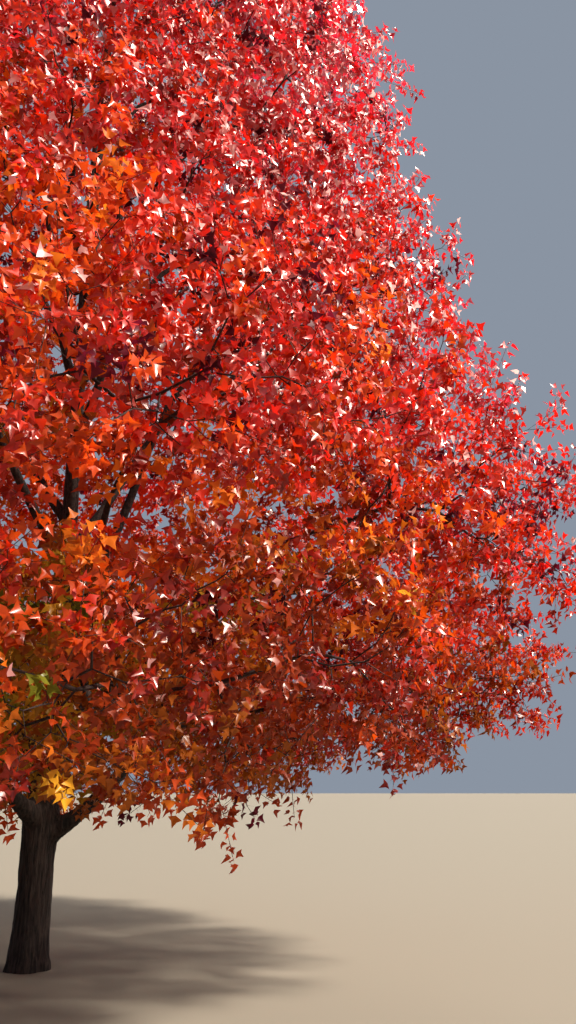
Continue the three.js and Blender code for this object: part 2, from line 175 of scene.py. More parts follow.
# %% Seeded numbers
def seeded(seed):
    """The source's stream of even random numbers from 0 to 1."""
    whole = 0xFFFFFFFF
    state = seed

    def draw():
        nonlocal state
        state = (state + 0x6D2B79F5) & whole
        mixed = ((state ^ (state >> 15)) * (state | 1)) & whole
        mixed ^= (mixed + (mixed ^ (mixed >> 7)) * (mixed | 61)) & whole
        return (mixed ^ (mixed >> 14)) / (whole + 1)

    return draw


# %% The crown's outline
def outward(azimuth):
    """The level direction at an azimuth, as a vector of length one."""
    return np.array([math.cos(azimuth), math.sin(azimuth), 0.0])


def swell_at(azimuth):
    """How much of its full radius the crown has in one direction from the trunk."""
    return 1 + sum(size * (np.cos(n * (azimuth - turn)) - 1) for n, size, turn in CROWN_WAVES)


def lift_at(points):
    """How far the crown's underside is drawn up beside or below each point."""
    share = points @ outward(LIFT_TURN) / CROWN_RADIUS
    low, high = LIFT_HEIGHTS
    return UNDERSIDE_LIFT * np.clip(share, 0, 1) * np.clip((high - points[..., 2]) / (high - low), 0, 1)


def depth_in_crown(points):
    """How far each point lies inside the crown's outline; negative outside it."""
    radius = CROWN_RADIUS * swell_at(np.arctan2(points[:, 1], points[:, 0]))
    reach, height = np.hypot(points[:, 0], points[:, 1]), points[:, 2] - lift_at(points)
    nearest = np.full(len(points), np.inf)
    inside = np.zeros(len(points), bool)
    for (out, up), (next_out, next_up) in zip(CROWN_OUTLINE, CROWN_OUTLINE[1:]):
        across, rise = (next_out - out) * radius, (next_up - up) * TREE_HEIGHT
        from_x, from_z = reach - out * radius, height - up * TREE_HEIGHT
        share = np.clip((from_x * across + from_z * rise) / (across**2 + rise**2), 0, 1)
        nearest = np.minimum(nearest, np.hypot(from_x - share * across, from_z - share * rise))
        level = (from_z > 0) != (from_z > rise)
        inside ^= level & (from_x < across * from_z / rise)
    return np.where(inside, nearest, -nearest)


# %% Places of the masses
def place_masses():
    """Each mass with its centre and direction, as the source draws them."""
    random = seeded(PLACES_SEED)
    masses = []
    for name, tier in TIERS.items():
        alone = tier["count"] == 1
        for i in range(tier["count"]):
            azimuth = math.radians(tier["first"] + 360 / tier["count"] * i) + TURN_SPREAD * (random() - 0.5)
            centre = outward(azimuth) * tier["reach"] * swell_at(azimuth)
            centre[2] = tier["height"] + (0 if alone else HEIGHT_SPREAD * (random() - 0.5))
            centre[2] += lift_at(centre)
            label = name if alone else f"{name}_{i + 1}"
            masses.append({"tier": name, "label": label, "azimuth": azimuth, "centre": centre})
    return masses


masses = place_masses()
centres = np.array([mass["centre"] for mass in masses])
print("masses", len(masses))


# %% [markdown]
# ## The limbs' paths
# Each bough of the frame follows one cubic Bézier curve. It leaves its parent at a set rise and arrives at
# its mass from inside. Blender's own Bézier curves have the same four corners, so the bark can be bent
# along exactly the path of the solid that it stands for.

# %% Paths by length
PATH_SAMPLES = 201


def cubic(corners, shares):
    """Points of a cubic Bézier curve."""
    t = np.atleast_1d(shares)[:, None]
    a, b, c, d = corners
    return a * (1 - t) ** 3 + 3 * b * t * (1 - t) ** 2 + 3 * c * t**2 * (1 - t) + d * t**3


def path_of(corners):
    """A curve's evenly spaced shares and the length run at each."""
    shares = np.linspace(0, 1, PATH_SAMPLES)
    steps = np.linalg.norm(np.diff(cubic(corners, shares), axis=0), axis=1)
    return shares, np.concatenate([[0], np.cumsum(steps)])


def point_along(corners, share):
    """The point at a share of a curve's length."""
    shares, run = path_of(corners)
    return cubic(corners, np.interp(share * run[-1], run, shares))[0]


# %% Where the limbs run
BOUGH_STOPS_SHORT = 1.3
BOUGH_STOPS_BELOW = 0.45
LEADER_STOPS_BELOW = 1.0
LEADER_ROOT = 0.118
LEADER_SWAY = [np.array([0.15, -0.06, 4.6]), np.array([-0.24, 0.15, 8.0])]
GOLDEN_STEP = 0.618
LOWEST_RISES = (0.42, 0.62)
UPPER_RISE = 1.1
SKIRT_RISE = 0.15
ARRIVING_RISE = 0.7
SKIRT_ARRIVING_RISE = 0.05
LEAVING_SHARE = 0.4
ARRIVING_SHARE = 0.3


def lerp(low, high, share):
    """The value at a share of the way from low to high."""
    return low + (high - low) * share


def entry_of(mass):
    """Where the bough to a mass ends."""
    if mass["tier"] == "top":
        return mass["centre"] - UP * LEADER_STOPS_BELOW
    return mass["centre"] - outward(mass["azimuth"]) * BOUGH_STOPS_SHORT - UP * BOUGH_STOPS_BELOW


def unit(vector):
    return vector / np.linalg.norm(vector)


def bough_path(start, rise, mass):
    """The corners of a bough's curve, which leaves its parent at a rise and comes to its mass from inside."""
    end = entry_of(mass)
    length = np.linalg.norm(end - start)
    leaving = unit(unit((end - start) * (1, 1, 0)) + UP * rise)
    arriving_rise = SKIRT_ARRIVING_RISE if mass["tier"] == "skirt" else ARRIVING_RISE
    arriving = unit(outward(mass["azimuth"]) + UP * arriving_rise)
    handle, last_handle = leaving * LEAVING_SHARE * length, arriving * ARRIVING_SHARE * length
    return np.array([start, start + handle, end - last_handle, end])


def place_limbs():
    """Gives each mass the path and the radius at the root of the limb that carries it."""
    random = seeded(PATHS_SEED)
    top = masses[-1]
    leader = np.array([UP * (FORK_HEIGHT + JOINT_GAP), *LEADER_SWAY, entry_of(top)])
    top["path"], top["root"] = leader, LEADER_ROOT
    for name in ("lower", "middle", "upper", "shoulder"):
        lowest, highest = TIERS[name]["leaves"]
        for i, mass in enumerate(m for m in masses if m["tier"] == name):
            height = lerp(lowest, highest, i * GOLDEN_STEP % 1)
            share = (height - FORK_HEIGHT) / (leader[-1][2] - FORK_HEIGHT)
            start = point_along(leader, share) if share > 0 else UP * height
            rise = lerp(*LOWEST_RISES, random()) if name == "lower" else UPPER_RISE
            mass["path"], mass["root"] = bough_path(start, rise, mass), TIERS[name]["root"]
    above = [m for m in masses if m["tier"] == "lower"]
    for mass in (m for m in masses if m["tier"] == "skirt"):
        parent = min(above, key=lambda other: np.linalg.norm(other["centre"] - mass["centre"]))
        share = lerp(*TIERS["skirt"]["leaves"], random())
        mass["path"] = bough_path(point_along(parent["path"], share), SKIRT_RISE, mass)
        mass["root"] = TIERS["skirt"]["root"]


place_limbs()
for mass in masses:
    node = "leader" if mass["tier"] == "top" else f"bough_{mass['label']}"
    low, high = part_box(node)
    mass["limb"] = node
    mass["off"] = max(0.0, *(np.array(low) - mass["path"][-1]), *(mass["path"][-1] - np.array(high)))
print("limbs end within", round(max(mass["off"] for mass in masses) * 1000), "mm of their solids")

# %% [markdown]
# ## Bark
# The bark of a young red maple is dark grey-brown, with shallow furrows up the trunk that fade out along the
# boughs. The trunk and the boughs are given colours darker still, as painted shade from the crown. The
# furrows
# are real relief: a Displace modifier pushes the surface in and out by a procedural texture, which an Empty
# stretches along the limb. The finish adds what is too fine for the mesh. Both wood materials share one node
# group, so the furrows, the fibres and the pale lichen tint are built only once.

# %% The bark's node group
def socket(group, name, way, kind, value=None):
    """A named socket on a node group."""
    made = group.interface.new_socket(name=name, in_out=way, socket_type=kind)
    if value is not None:
        made.default_value = value
    return made


def bark_group():
    """Furrows that run along Z, as a height and as a mix of a dark and a pale colour."""
    group = bpy.data.node_groups.new("bark_pattern", "ShaderNodeTree")
    socket(group, "Furrows across a metre", "INPUT", "NodeSocketFloat", 40)
    socket(group, "Stretch", "INPUT", "NodeSocketFloat", 0.14)
    socket(group, "Cracks", "INPUT", "NodeSocketColor", srgb(34, 25, 21))
    socket(group, "Ridges", "INPUT", "NodeSocketColor", srgb(104, 84, 71))
    socket(group, "Color", "OUTPUT", "NodeSocketColor")
    socket(group, "Height", "OUTPUT", "NodeSocketFloat")
    socket(group, "Roughness", "OUTPUT", "NodeSocketFloat")
    nodes, link = group.nodes, group.links.new
    given, result = nodes.new("NodeGroupInput"), nodes.new("NodeGroupOutput")
    place, squeeze = nodes.new("ShaderNodeTexCoord"), nodes.new("ShaderNodeCombineXYZ")
    stretched = nodes.new("ShaderNodeVectorMath")
    stretched.operation = "MULTIPLY"
    squeeze.inputs["X"].default_value = squeeze.inputs["Y"].default_value = 1
    link(given.outputs["Stretch"], squeeze.inputs["Z"])
    link(place.outputs["Object"], stretched.inputs[0])
    link(squeeze.outputs[0], stretched.inputs[1])
    furrows = nodes.new("ShaderNodeTexNoise")
    furrows.inputs["Detail"].default_value = 5
    furrows.inputs["Roughness"].default_value = 0.62
    furrows.inputs["Distortion"].default_value = 0.4
    link(stretched.outputs[0], furrows.inputs["Vector"])
    link(given.outputs["Furrows across a metre"], furrows.inputs["Scale"])
    patches = nodes.new("ShaderNodeTexNoise")
    patches.inputs["Scale"].default_value = 3
    patches.inputs["Detail"].default_value = 3
    link(place.outputs["Object"], patches.inputs["Vector"])
    contrast = nodes.new("ShaderNodeMapRange")
    contrast.inputs["From Min"].default_value = 0.38
    contrast.inputs["From Max"].default_value = 0.64
    link(furrows.outputs["Fac"], contrast.inputs["Value"])
    shade = nodes.new("ShaderNodeMapRange")
    shade.inputs["To Min"].default_value = 0.45
    shade.inputs["To Max"].default_value = 1.2
    link(patches.outputs["Fac"], shade.inputs["Value"])
    share = nodes.new("ShaderNodeMath")
    share.operation = "MULTIPLY"
    link(contrast.outputs[0], share.inputs[0])
    link(shade.outputs[0], share.inputs[1])
    colour = nodes.new("ShaderNodeMix")
    colour.data_type = "RGBA"
    link(share.outputs[0], colour.inputs["Factor"])
    link(given.outputs["Cracks"], colour.inputs["A"])
    link(given.outputs["Ridges"], colour.inputs["B"])
    roughness = nodes.new("ShaderNodeMapRange")
    roughness.inputs["To Min"].default_value = 0.95
    roughness.inputs["To Max"].default_value = 0.72
    link(contrast.outputs[0], roughness.inputs["Value"])
    link(colour.outputs["Result"], result.inputs["Color"])
    link(contrast.outputs[0], result.inputs["Height"])
    link(roughness.outputs[0], result.inputs["Roughness"])
    return group


BARK_PATTERN = bark_group()


# %% Bark finishes
def bark_finish(name, across, stretch, cracks, ridges, depth):
    """Wood with the shared bark pattern at its own scale, colours and depth of relief."""
    material, shader = principled(name)
    nodes, link = material.node_tree.nodes, material.node_tree.links.new
    pattern = nodes.new("ShaderNodeGroup")
    pattern.node_tree = BARK_PATTERN
    pattern.inputs["Furrows across a metre"].default_value = across
    pattern.inputs["Stretch"].default_value = stretch
    pattern.inputs["Cracks"].default_value = srgb(*cracks)
    pattern.inputs["Ridges"].default_value = srgb(*ridges)
    bump = nodes.new("ShaderNodeBump")
    bump.inputs["Distance"].default_value = depth
    bump.inputs["Strength"].default_value = 0.9
    link(pattern.outputs["Color"], shader.inputs["Base Color"])
    link(pattern.outputs["Roughness"], shader.inputs["Roughness"])
    link(pattern.outputs["Height"], bump.inputs["Height"])
    link(bump.outputs["Normal"], shader.inputs["Normal"])
    return material


# The trunk's and the boughs' colours are the bark's own dark grey-brown, set darker still as painted shade
# from the crown.
TRUNK_BARK_AND_SHADE = bark_finish("trunk_bark_and_shade", 42, 0.12, (17, 11, 8), (62, 45, 35), 0.006)
BOUGH_BARK_AND_SHADE = bark_finish("bough_bark_and_shade", 34, 0.6, (21, 14, 11), (58, 44, 37), 0.003)
TWIG_BARK = bark_finish("twig_bark", 60, 0.8, (30, 16, 14), (58, 36, 31), 0.001)


# %% [markdown]
# ## Modelling a limb by hand
# A limb is easiest to model straight. It starts as a filled circle, which is extruded upwards ring by ring
# and resized at each ring to the taper. A Subdivision Surface rounds it, the Displace modifiers give it
# relief, and a Curve modifier then bends it along its own path. A cage with few sides shrinks when it is
# subdivided, so its rings start a little larger.

# %% Tools for shaping
def only(piece):
    """Selects one object alone and makes it the active one."""
    bpy.ops.object.select_all(action="DESELECT")
    piece.select_set(True)
    bpy.context.view_layer.objects.active = piece


def apply_all(piece):
    """Applies all of a piece's modifiers, in their order."""
    only(piece)
    for name in [modifier.name for modifier in piece.modifiers]:
        bpy.ops.object.modifier_apply(modifier=name)


def cage_share(sides):
    """The share of its radius that a ring keeps when it is subdivided."""
    return (4 + 2 * math.cos(2 * math.pi / sides)) / 6


def extrude_rings(name, rings, sides):
    """A closed round cage through (height, radius) rings, extruded upwards one by one."""
    wider = 1 / cage_share(sides)
    (foot, root), *rest = rings
    bpy.ops.object.select_all(action="DESELECT")
    bpy.ops.mesh.primitive_circle_add(
        vertices=sides, radius=root * wider, fill_type="NGON", location=(0, 0, foot)
    )
    piece = bpy.context.object
    piece.name = name
    bpy.ops.object.transform_apply(location=True)
    bpy.ops.object.mode_set(mode="EDIT")
    bpy.ops.mesh.select_all(action="SELECT")
    for (low, wide), (high, thin) in zip(rings, rest):
        bpy.ops.mesh.extrude_region_move(TRANSFORM_OT_translate={"value": (0, 0, high - low)})
        bpy.ops.transform.resize(value=(thin / wide, thin / wide, 1))
    bpy.ops.mesh.select_all(action="SELECT")
    bpy.ops.mesh.normals_make_consistent(inside=False)
    bpy.ops.object.mode_set(mode="OBJECT")
    return piece


def subdivide(piece, levels):
    """Adds a modifier that rounds a piece."""
    modifier = piece.modifiers.new("round", "SUBSURF")
    modifier.levels = modifier.render_levels = levels


# %% Relief
def relief_texture(name, kind, scale):
    """A procedural texture for the Displace modifiers, with features of about the scale in metres."""
    texture = bpy.data.textures.new(name, kind)
    texture.noise_scale = scale
    return texture


FURROWS = relief_texture("furrows", "VORONOI", 0.045)
FURROWS.weight_1, FURROWS.weight_2 = -1, 1
FURROWS.noise_intensity = 1.6
LUMPS = relief_texture("lumps", "CLOUDS", 0.16)
WRINKLES = relief_texture("wrinkles", "CLOUDS", 0.022)


def displace(piece, texture, depth, stretch):
    """Relief of a depth by a texture that is stretched along Z."""
    holder = bpy.data.objects.new(f"{texture.name}_holder", None)
    holder.scale = (1, 1, stretch)
    bpy.context.scene.collection.objects.link(holder)
    bpy.context.view_layer.update()
    modifier = piece.modifiers.new(texture.name, "DISPLACE")
    modifier.texture = texture
    modifier.texture_coords = "OBJECT"
    modifier.texture_coords_object = holder
    modifier.strength = depth
    modifier.mid_level = 0.5
    apply_all(piece)
    bpy.data.objects.remove(holder)


# %% Bending a straight limb along its path
RAIL_RESOLUTION = 40


def bend(piece, corners):
    """Bends a straight limb, which stands on the origin, along a cubic Bézier curve."""
    bpy.ops.object.select_all(action="DESELECT")
    bpy.ops.curve.primitive_bezier_curve_add()
    rail = bpy.context.object
    rail.data.dimensions = "3D"
    rail.data.resolution_u = RAIL_RESOLUTION
    start, end = rail.data.splines[0].bezier_points
    for point in (start, end):
        point.handle_left_type = point.handle_right_type = "FREE"
    start.co, start.handle_right, end.handle_left, end.co = corners
    start.handle_left, end.handle_right = 2 * corners[0] - corners[1], 2 * corners[3] - corners[2]
    modifier = piece.modifiers.new("bend", "CURVE")
    modifier.object = rail
    modifier.deform_axis = "POS_Z"
    apply_all(piece)
    bpy.data.objects.remove(rail)


# %% The taper of a limb
BOUGH_TIP = 0.027
COLLAR = 0.4
LEADER_COLLAR = 0.25
COLLAR_FADE = 0.05
TAPER = 0.8
RING_SPACING = 1.25


def radius_at(share, root, collar):
    """A limb's radius at a share of its length, as in the source."""
    return lerp(root, BOUGH_TIP, share**TAPER) * (1 + collar * math.exp(-share / COLLAR_FADE))


def limb_rings(length, root, collar, count):
    """The (height, radius) rings of a straight limb, closer together near its root."""
    shares = [(i / count) ** RING_SPACING for i in range(count + 1)]
    return [(length * share, radius_at(share, root, collar)) for share in shares]


# %% [markdown]
# ## Boughs
# The boughs of one tier differ only in their length and their path. One straight bough is modelled for each
# tier at the tier's mean length, and each bough is a copy with its own mesh, turned about its own axis so
# that no two show the same knots, stretched to its length and bent.

# %% Boughs of one tier
BOUGH_SIDES = 8
BOUGH_RINGS = 12
BOUGH_LUMPS = 0.012
BOUGH_WRINKLES = 0.004
LIMB_STRETCH = 4
SMOOTH_LEVELS = 2


def length_of(corners):
    """The whole length of a curve."""
    return path_of(corners)[1][-1]


def boughs_of(tier, random):
    """Models all the boughs of one tier, joined into one piece that stands for their nodes."""
    own = [mass for mass in masses if mass["tier"] == tier]
    mean = sum(length_of(mass["path"]) for mass in own) / len(own)
    collar = 0 if tier == "lower" else COLLAR
    straight = extrude_rings(tier, limb_rings(mean, own[0]["root"], collar, BOUGH_RINGS), BOUGH_SIDES)
    subdivide(straight, SMOOTH_LEVELS)
    displace(straight, LUMPS, BOUGH_LUMPS, LIMB_STRETCH)
    displace(straight, WRINKLES, BOUGH_WRINKLES, LIMB_STRETCH)
    copies = []
    for mass in own:
        only(straight)
        bpy.ops.object.duplicate()
        copy = bpy.context.object
        copy.rotation_euler.z = 2 * math.pi * random.random()
        copy.scale.z = length_of(mass["path"]) / mean
        bpy.ops.object.transform_apply(rotation=True, scale=True)
        bend(copy, mass["path"])
        copies.append(copy)
    bpy.data.objects.remove(straight)
    only(copies[0])
    for copy in copies:
        copy.select_set(True)
    bpy.ops.object.join()
    piece = bpy.context.object
    piece.name = piece.data.name = f"boughs_{tier}"
    bpy.ops.object.shade_smooth()
    piece.data.materials.append(BOUGH_BARK_AND_SHADE)
    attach(piece, "root")
    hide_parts(*(mass["limb"] for mass in own))
    print(piece.name, len(piece.data.polygons), "faces")


bough_turns = np.random.default_rng(5)
for tier in ("skirt", "lower", "middle", "upper", "shoulder"):
    boughs_of(tier, bough_turns)


# %% The leader
LEADER_SIDES = 10
LEADER_RINGS = 26

leader_path = masses[-1]["path"]
leader_rings = limb_rings(length_of(leader_path), LEADER_ROOT, LEADER_COLLAR, LEADER_RINGS)
leader = extrude_rings("leader_bark", leader_rings, LEADER_SIDES)
subdivide(leader, SMOOTH_LEVELS)
displace(leader, LUMPS, BOUGH_LUMPS, LIMB_STRETCH)
displace(leader, WRINKLES, BOUGH_WRINKLES, LIMB_STRETCH)
bend(leader, leader_path)
bpy.ops.object.shade_smooth()
leader.data.materials.append(BOUGH_BARK_AND_SHADE)
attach(leader, "root")
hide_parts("leader")
print(leader.name, len(leader.data.polygons), "faces")

# %% [markdown]
# ## The trunk and its fork
# On the real tree the wood of the low boughs grows out of the trunk without a seam, with a thick collar round
# each root. So the trunk, the foot of the leader and the first stretch of each low bough are joined and
# remeshed into one skin, which is then smoothed and given deep furrows. Each arm of that skin ends just
# inside the bough that goes on from it. The foot is cut flat at ground level at the very end.

# %% The trunk with its flare
TRUNK_PROFILE = [
    (-0.06, 1.36), (0, 1.3), (0.09, 1.17), (0.22, 1.08), (0.42, 1.03), (0.7, 1),
    (1, 1), (1.2, 1.05), (1.34, 1.06), (FORK_HEIGHT, 1.05), (FORK_HEIGHT + 0.05, 0.8),
]
TRUNK_SIDES = 20
ROOTS = 5
ROOT_TURN = 0.6
ROOT_SPREAD = 0.13
ROOT_FADE = 0.19


def flare(piece):
    """Pushes the lowest rings out at the five roots and in between them."""
    for vertex in piece.data.vertices:
        azimuth = math.atan2(vertex.co.y, vertex.co.x)
        fade = math.exp(-max(0, vertex.co.z) / ROOT_FADE)
        push = 1 + ROOT_SPREAD * fade * math.cos(ROOTS * azimuth + ROOT_TURN)
        vertex.co.x *= push
        vertex.co.y *= push


trunk_rings = [(height, TRUNK_RADIUS * share) for height, share in TRUNK_PROFILE]
trunk = extrude_rings("trunk_bark_and_shade", trunk_rings, TRUNK_SIDES)
flare(trunk)
subdivide(trunk, SMOOTH_LEVELS)
apply_all(trunk)

# %% The arms of the fork
ARM_LENGTH = 0.8
LEADER_ARM_LENGTH = 1.9
ARM_SWELL = 0.03
ARM_SINK = 0.006
ARM_RINGS = 6


def arm(mass, collar, reach):
    """The first stretch of a limb, thicker than the limb at its root and sunk in it at its end."""
    length = length_of(mass["path"])
    shares = [(i / ARM_RINGS) ** RING_SPACING for i in range(ARM_RINGS + 1)]
    rings = [
        (reach * s, radius_at(s * reach / length, mass["root"], collar) + lerp(ARM_SWELL, -ARM_SINK, s))
        for s in shares
    ]
    piece = extrude_rings("arm", rings, BOUGH_SIDES)
    subdivide(piece, SMOOTH_LEVELS)
    bend(piece, mass["path"])
    return piece


arms = [arm(mass, COLLAR, ARM_LENGTH) for mass in masses if mass["tier"] == "lower"]
arms.append(arm(masses[-1], LEADER_COLLAR, LEADER_ARM_LENGTH))
only(trunk)
for piece in arms:
    piece.select_set(True)
bpy.ops.object.join()

# %% One skin with furrows
SKIN_VOXEL = 0.026
SKIN_SMOOTHINGS = 14
FURROW_DEPTH = 0.014
FURROW_STRETCH = 7
TRUNK_LUMPS = 0.02
TRUNK_LUMP_STRETCH = 2
TRUNK_WRINKLES = 0.004

remesh = trunk.modifiers.new("skin", "REMESH")
remesh.mode = "VOXEL"
remesh.voxel_size = SKIN_VOXEL
smooth = trunk.modifiers.new("smooth", "SMOOTH")
smooth.factor = 0.5
smooth.iterations = SKIN_SMOOTHINGS
subdivide(trunk, 1)
apply_all(trunk)
displace(trunk, LUMPS, TRUNK_LUMPS, TRUNK_LUMP_STRETCH)
displace(trunk, FURROWS, FURROW_DEPTH, FURROW_STRETCH)
displace(trunk, WRINKLES, TRUNK_WRINKLES, FURROW_STRETCH)
bpy.ops.object.mode_set(mode="EDIT")
bpy.ops.mesh.select_all(action="SELECT")
bpy.ops.mesh.bisect(plane_co=(0, 0, 0), plane_no=(0, 0, 1), clear_inner=True, use_fill=True)
bpy.ops.object.mode_set(mode="OBJECT")
for vertex in trunk.data.vertices:
    vertex.co.z = max(0, vertex.co.z)
bpy.ops.object.shade_smooth()
trunk.data.materials.append(TRUNK_BARK_AND_SHADE)
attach(trunk, "root")
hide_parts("trunk")
trunk_foot = min(vertex.co.z for vertex in trunk.data.vertices)
print(trunk.name, len(trunk.data.polygons), "faces, foot at", round(trunk_foot, 4))

# %% [markdown]
# ## Twigs
# Each mass grows from the tip of its limb by the source's rule. Tips are spread over the outer shell of the
# crown, one stem heads for the middle of them and forks part of the way there, and each fork shares its tips
# between the two that lie furthest apart. Only the number of tips is larger here. Thousands of thin tubes
# are quickest as one mesh from arrays, with three sides each.

# %% A slow noise
NOISE_WAVES = 24


def rows_unit(vectors):
    """Each row scaled to a length of one."""
    return vectors / np.linalg.norm(vectors, axis=-1, keepdims=True)


def slow_noise(points, lengths, random):
    """A smooth noise of about -1 to 1, as a sum of waves of these lengths in random directions."""
    directions = rows_unit(random.normal(size=(NOISE_WAVES, 3)))
    waves = directions * (2 * math.pi / random.uniform(*lengths, NOISE_WAVES))[:, None]
    starts = random.uniform(0, 2 * math.pi, NOISE_WAVES)
    return np.sin(points @ waves.T + starts).sum(axis=1) / NOISE_WAVES**0.5


# %% The reach that twigs and leaves keep to
REACH_SHARE = 0.025
crown_low, crown_high = (np.array(corner) for corner in cad_box)
spare = REACH_SHARE * (crown_high - crown_low)
reach_low, reach_high = crown_low - spare * (1, 1, 0), crown_high + spare


def within_reach(points, margin=0):
    """Whether each point lies inside the tree's reach by a margin."""
    return ((points > reach_low + margin) & (points < reach_high - margin)).all(axis=-1)


# %% Tips of the twigs
SPRAYS = 12000
POINTS_PER_SPRAY = 45
DEEPEST_TIP = 2.2
TUFT_DEPTHS = (-0.2, 0.6)
TUFT_LENGTHS = (0.4, 1.5)
SEAM_DEPTH = 0.5
SEAM_FADE = 0.4
GAP_TURN, GAP_WIDTH = math.radians(-71), math.radians(7)
GAP_TOP = 1.56
TIP_MARGIN = 0.12
INNER_SPREAD = 0.6
MASS_GAP = 0.12
LOW_HEIGHTS = (2, 6)
LOW_SPREAD = 1.13


def rise_of(points):
    """From 0 in the low part of the crown, where leaves are small and many, to 1 well above it."""
    low, high = LOW_HEIGHTS
    return np.clip((points[:, 2] - low) / (high - low), 0, 1)


def hides_fork(points):
    """Whether each point lies in the low gap in the crown's skirt through which the fork shows."""
    turned = np.arctan2(points[:, 1], points[:, 0]) - GAP_TURN
    return (np.abs(turned) < GAP_WIDTH) & (points[:, 2] < GAP_TOP)


def shell_points(random):
    """Points in the crown's outer shell, each with its depth and the number of its mass."""
    low, high = (-CROWN_RADIUS, -CROWN_RADIUS, 0), (CROWN_RADIUS, CROWN_RADIUS, TREE_HEIGHT)
    points = random.uniform(low, high, (SPRAYS * POINTS_PER_SPRAY, 3))
    depth = depth_in_crown(points)
    near = (depth > TUFT_DEPTHS[0]) & (depth < DEEPEST_TIP) & within_reach(points, TIP_MARGIN)
    near &= ~hides_fork(points)
    points, depth = points[near], depth[near]
    away = np.linalg.norm(points[:, None] - centres[None], axis=2)
    order = np.argsort(away, axis=1)[:, :2]
    nearest, second = np.take_along_axis(away, order, axis=1).T
    tuft = np.clip(0.5 + 0.5 * slow_noise(points, TUFT_LENGTHS, random), 0, 1)
    seam = SEAM_DEPTH * np.exp((nearest - second) / SEAM_FADE)
    clear = (second - nearest > MASS_GAP) & (depth > lerp(*TUFT_DEPTHS, tuft) + seam)
    return points[clear], depth[clear], order[clear, 0]


def spread_tips(points, weights, count, root):
    """Picks tips that lie far from the root and from each other."""
    gaps = np.linalg.norm(points - root, axis=1) * weights
    chosen = []
    for _ in range(count):
        chosen.append(gaps.argmax())
        gaps = np.minimum(gaps, np.linalg.norm(points - points[chosen[-1]], axis=1) * weights)
    return points[chosen]


points, depths, owners = shell_points(np.random.default_rng(37))
weights = lerp(1, INNER_SPREAD, np.clip(depths / DEEPEST_TIP, 0, 1)) * lerp(LOW_SPREAD, 1, rise_of(points))
shares = np.bincount(owners, weights=weights**3, minlength=len(masses))
for i, mass in enumerate(masses):
    own = owners == i
    count = round(SPRAYS * shares[i] / shares.sum())
    mass["tips"] = spread_tips(points[own], weights[own], count, mass["path"][-1])
print("tips", sum(len(mass["tips"]) for mass in masses))

# %% Twigs by the source's rule
FORK_SHARE = 0.42


def grow_twigs(root, tips):
    """The twigs of one mass, each as its points and the number of tips that it bears at each point."""
    twigs = []

    def grow(twig, start, own):
        if len(own) == 1:
            twig["points"].append(own[0])
            twig["bears"].append(1)
            return
        middle = own.mean(axis=0)
        fork = lerp(start, middle, FORK_SHARE)
        twig["points"].append(fork)
        twig["bears"].append(len(own))
        one_end = own[np.linalg.norm(own - middle, axis=1).argmax()]
        away = np.linalg.norm(own - one_end, axis=1)
        other_end = own[away.argmax()]
        near = away < np.linalg.norm(own - other_end, axis=1)
        fewest, most = sorted((own[near], own[~near]), key=len)
        grow(twig, fork, most)
        offshoot = {"points": [fork], "bears": [len(fewest)]}
        twigs.append(offshoot)
        grow(offshoot, fork, fewest)

    stem = {"points": [root], "bears": [len(tips)]}
    twigs.append(stem)
    grow(stem, root, tips)
    return twigs


for mass in masses:
    mass["twigs"] = grow_twigs(mass["path"][-1], mass["tips"])
print("twigs", sum(len(mass["twigs"]) for mass in masses))


# %% A mesh from arrays
def mesh_piece(name, vertices, triangles, finishes, numbers=None):
    """An object from arrays of vertices and triangles, with a number of a finish for each triangle."""
    mesh = bpy.data.meshes.new(name)
    mesh.vertices.add(len(vertices))
    mesh.vertices.foreach_set("co", np.asarray(vertices, np.float32).ravel())
    mesh.loops.add(3 * len(triangles))
    mesh.loops.foreach_set("vertex_index", np.asarray(triangles, np.int32).ravel())
    mesh.polygons.add(len(triangles))
    mesh.polygons.foreach_set("loop_start", np.arange(0, 3 * len(triangles), 3, dtype=np.int32))
    for finish in finishes:
        mesh.materials.append(finish)
    if numbers is not None:
        mesh.polygons.foreach_set("material_index", np.asarray(numbers, np.int32))
    mesh.update()
    mesh.validate()
    piece = bpy.data.objects.new(name, mesh)
    bpy.context.scene.collection.objects.link(piece)
    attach(piece, "root")
    print(name, len(triangles), "triangles")
    return piece


# %% Twigs as three-sided tubes
TWIG_SIDES = 3
TWIG_TIP = 0.0022
TWIG_GROWTH = 0.42
TWIG_ROOT = 0.75
SLANT = (1, 0.2, 0.1)


